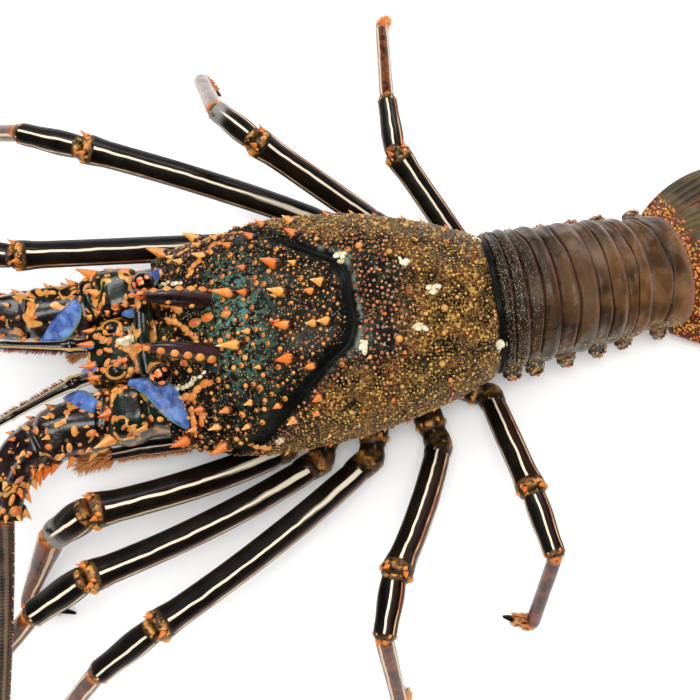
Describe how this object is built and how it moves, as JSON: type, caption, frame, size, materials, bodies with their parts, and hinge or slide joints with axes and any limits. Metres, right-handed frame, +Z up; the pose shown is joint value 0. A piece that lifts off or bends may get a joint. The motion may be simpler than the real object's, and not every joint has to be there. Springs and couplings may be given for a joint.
{
  "type": "spiny lobster",
  "caption": "Still life-size spiny lobster with a spiny carapace, long antennae, slender walking legs and a spread tail fan, resting on its belly.",
  "frame": {"origin": "centre of the flat face under the sternum, on the floor", "axes": "+Z up, -X towards the head, +Y towards the animal's right side"},
  "size_m": [0.4088, 0.6256, 0.0803],
  "materials": {
    "carapace": "dark green-black shell with cream and orange granules, low sheen",
    "underside": "pale tan shell, matt",
    "horn": "brown-purple with orange granules, low sheen",
    "eye": "near black, glossy",
    "plate": "dark green with orange curls, low sheen",
    "antenna": "dark purple-brown with orange spots, low sheen",
    "flagellum": "brown, low sheen",
    "antennule": "black with a cream line, glossy",
    "leg": "black-brown with cream stripes, glossy",
    "lower_leg": "reddish brown, low sheen",
    "abdomen": "warm brown, satin",
    "fan": "olive green with orange-red base and ribs, satin"
  },
  "bodies": {
    "root": {"carapace": "carapace", "sternum": "underside", "antennular_plate": "plate", "horn_left": "horn", "eye_left": "eye", "antenna_base_left": "antenna", "antenna_stem_left": "antenna", "flagellum_near_left": "flagellum", "flagellum_far_left": "flagellum", "antennule_left": "antennule", "maxilliped_left": "antennule", "horn_right": "horn", "eye_right": "eye", "antenna_base_right": "antenna", "antenna_stem_right": "antenna", "flagellum_near_right": "flagellum", "flagellum_far_right": "flagellum", "antennule_right": "antennule", "maxilliped_right": "antennule", "abdomen_1": "abdomen", "abdomen_2": "abdomen", "abdomen_3": "abdomen", "abdomen_4": "abdomen", "abdomen_5": "abdomen", "abdomen_6": "abdomen", "telson": "fan", "uropod_inner_left": "fan", "uropod_outer_left": "fan", "uropod_inner_right": "fan", "uropod_outer_right": "fan", "leg_1_upper_left": "leg", "leg_1_knee_left": "leg", "leg_1_lower_left": "lower_leg", "leg_2_upper_left": "leg", "leg_2_knee_left": "leg", "leg_2_lower_left": "lower_leg", "leg_3_upper_left": "leg", "leg_3_knee_left": "leg", "leg_3_lower_left": "lower_leg", "leg_4_upper_left": "leg", "leg_4_knee_left": "leg", "leg_4_lower_left": "lower_leg", "leg_5_upper_left": "leg", "leg_5_knee_left": "leg", "leg_5_lower_left": "lower_leg", "leg_1_upper_right": "leg", "leg_1_knee_right": "leg", "leg_1_lower_right": "lower_leg", "leg_2_upper_right": "leg", "leg_2_knee_right": "leg", "leg_2_lower_right": "lower_leg", "leg_3_upper_right": "leg", "leg_3_knee_right": "leg", "leg_3_lower_right": "lower_leg", "leg_4_upper_right": "leg", "leg_4_knee_right": "leg", "leg_4_lower_right": "lower_leg", "leg_5_upper_right": "leg", "leg_5_knee_right": "leg", "leg_5_lower_right": "lower_leg"}
  },
  "joints": []
}
